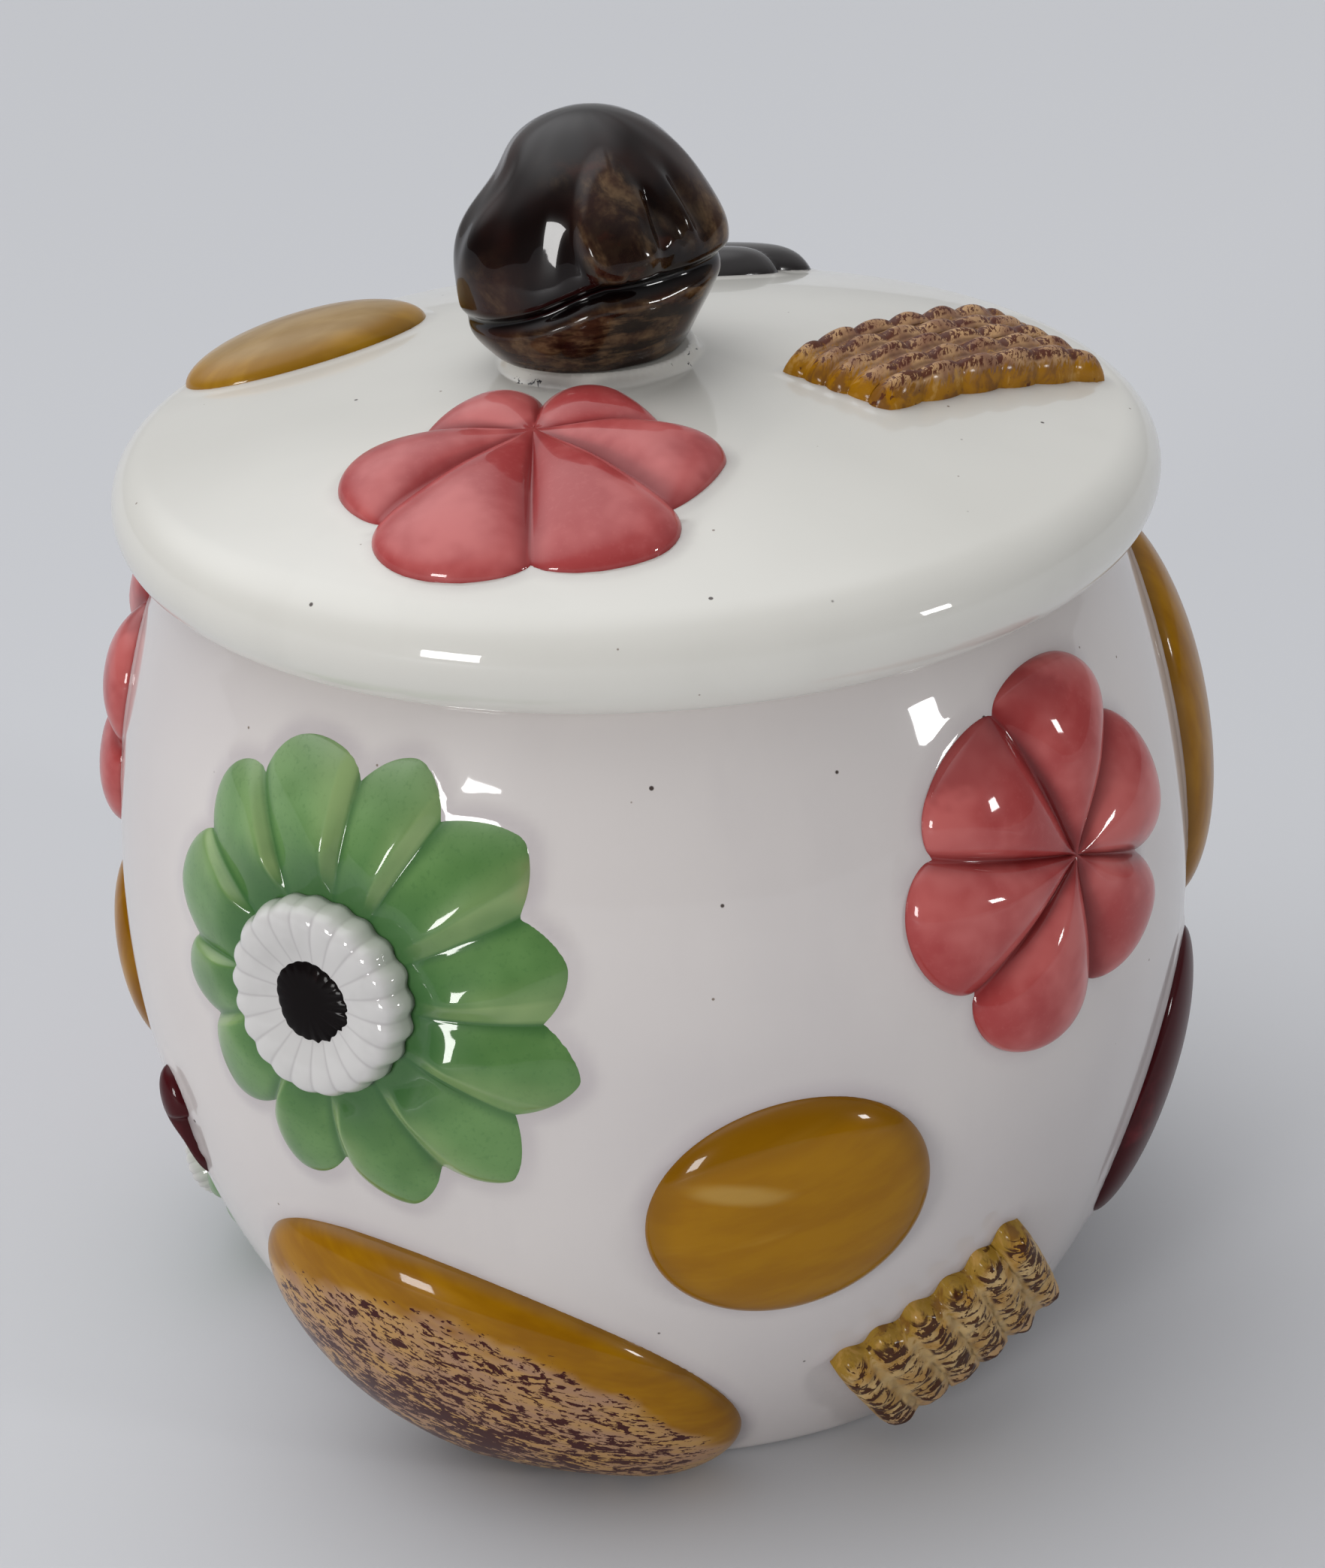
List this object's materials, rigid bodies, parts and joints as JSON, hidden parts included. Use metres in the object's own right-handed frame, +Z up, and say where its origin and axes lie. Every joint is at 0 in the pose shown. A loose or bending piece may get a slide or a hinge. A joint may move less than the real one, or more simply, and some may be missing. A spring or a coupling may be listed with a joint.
{
  "type": "biscuit jar",
  "caption": "Barrel-shaped glazed biscuit jar with a domed lift-off lid, a walnut knob and moulded biscuits, flowers and ovals in relief.",
  "frame": {"origin": "centre of the foot ring, on the plane the jar stands on", "axes": "+Z up along the jar's axis, -Y towards the front (the big daisy at the left of it), +X to the front's right"},
  "size_m": [0.219, 0.2196, 0.2351],
  "materials": {
    "barrel_glaze": "gloss",
    "black_glaze": "gloss",
    "chocolate_glaze": "gloss",
    "dark_red_glaze": "gloss",
    "green_glaze": "gloss",
    "lid_glaze": "gloss",
    "mustard_glaze": "gloss",
    "pink_glaze": "gloss",
    "speckled_glaze": "gloss",
    "tan_glaze": "gloss",
    "wafer_glaze": "gloss",
    "walnut_glaze": "gloss",
    "white_glaze": "gloss"
  },
  "bodies": {
    "jar": {"jar_barrel": "barrel_glaze", "front_daisy_petals": "green_glaze", "front_daisy_cup": "white_glaze", "front_daisy_eye": "black_glaze", "right_rosette": "pink_glaze", "front_oval": "mustard_glaze", "front_speckled_oval": "speckled_glaze", "front_wafer": "wafer_glaze", "right_speckled_oval": "speckled_glaze", "right_chocolate_oval": "chocolate_glaze", "left_rosette": "pink_glaze", "left_oval": "mustard_glaze", "left_almond": "dark_red_glaze", "left_daisy_petals": "green_glaze", "left_daisy_cup": "white_glaze", "left_daisy_eye": "black_glaze", "back_daisy_petals": "green_glaze", "back_daisy_cup": "white_glaze", "back_daisy_eye": "black_glaze", "back_rosette": "pink_glaze", "back_oval": "mustard_glaze", "back_speckled_oval": "speckled_glaze", "back_wafer": "wafer_glaze", "back_chocolate_oval": "chocolate_glaze"},
    "lid": {"lid_shell": "lid_glaze", "walnut_knob": "walnut_glaze", "lid_rosette": "pink_glaze", "lid_oval": "tan_glaze", "lid_wafer": "wafer_glaze", "lid_chocolate": "chocolate_glaze"}
  },
  "joints": [
    {"name": "lid_lift", "type": "slide", "parent": "jar", "child": "lid", "axis": [0, 0, 1], "range_m": [0, 0.1]}
  ]
}
